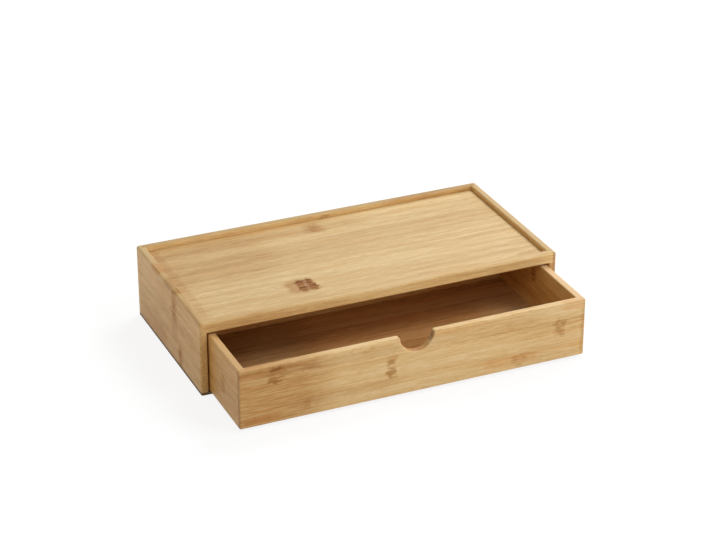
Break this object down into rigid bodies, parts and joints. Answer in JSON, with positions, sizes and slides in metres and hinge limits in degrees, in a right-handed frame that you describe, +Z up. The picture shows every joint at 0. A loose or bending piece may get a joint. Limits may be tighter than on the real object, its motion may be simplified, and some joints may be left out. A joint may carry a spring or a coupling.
{
  "type": "storage box with drawer",
  "caption": "Low rectangular box with a shallow rimmed tray top and a full-width sliding drawer that has a half-round finger notch.",
  "frame": {"origin": "centre of the casing's underside", "axes": "+X to the right seen from the front, the drawer opens towards -Y, +Z up"},
  "size_m": [0.3, 0.207, 0.0615],
  "materials": {
    "casing_boards": "satin lacquered bamboo",
    "tray": "satin lacquered bamboo",
    "base": "plain thin bamboo board",
    "drawer_boards": "satin lacquered bamboo",
    "drawer_bottom": "plain thin bamboo board"
  },
  "bodies": {
    "casing": {"left_side": "casing_boards", "right_side": "casing_boards", "back_panel": "casing_boards", "front_rail": "casing_boards", "tray_panel": "tray", "base_panel": "base"},
    "drawer": {"drawer_front": "drawer_boards", "drawer_back": "drawer_boards", "drawer_left_side": "drawer_boards", "drawer_right_side": "drawer_boards", "drawer_bottom": "drawer_bottom"}
  },
  "joints": [
    {"name": "drawer_slide", "type": "slide", "parent": "casing", "child": "drawer", "axis": [0, -1, 0], "range_m": [-0.062, 0.051]}
  ]
}
